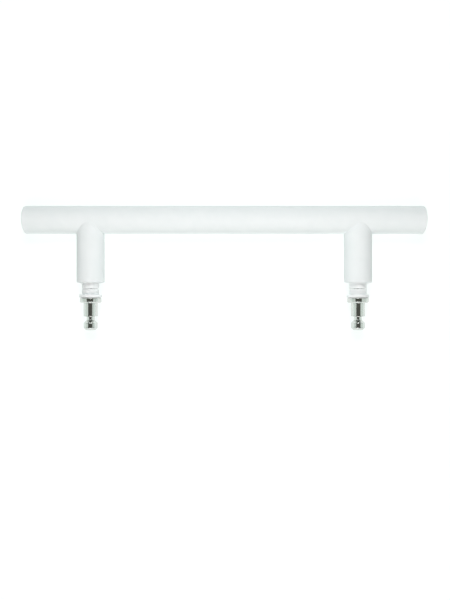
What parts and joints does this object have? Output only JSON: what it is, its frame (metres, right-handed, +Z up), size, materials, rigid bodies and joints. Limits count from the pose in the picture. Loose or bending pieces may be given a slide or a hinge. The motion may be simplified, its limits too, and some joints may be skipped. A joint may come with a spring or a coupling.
{
  "type": "glass door pull handle",
  "caption": "White round-bar pull handle for a glass door: a capped tube on coped round posts, with turned through-glass fixings and nylon bushes screwed into the posts.",
  "frame": {"origin": "midway between the axes of the two fixings, on the glass face that the handle stands on", "axes": "+X along the bar, +Y from the glass out through the posts to the bar, +Z up as the handle lies flat"},
  "size_m": [0.285, 0.0891, 0.02],
  "materials": {
    "white_coat": "satin white powder coat with a faint orange peel",
    "insert_steel": "turned and tapped plain steel",
    "bolt_chrome": "bright plated turned steel",
    "bush_nylon": "natural translucent white nylon"
  },
  "bodies": {
    "root": {"bar_tube": "white_coat", "end_cap_left": "white_coat", "end_cap_right": "white_coat", "post_left": "white_coat", "post_right": "white_coat", "post_insert_left": "insert_steel", "post_insert_right": "insert_steel", "fixing_bolt_left": "bolt_chrome", "fixing_bolt_right": "bolt_chrome", "inner_bush_left": "bush_nylon", "inner_bush_right": "bush_nylon", "outer_bush_left": "bush_nylon", "outer_bush_right": "bush_nylon"}
  },
  "joints": []
}
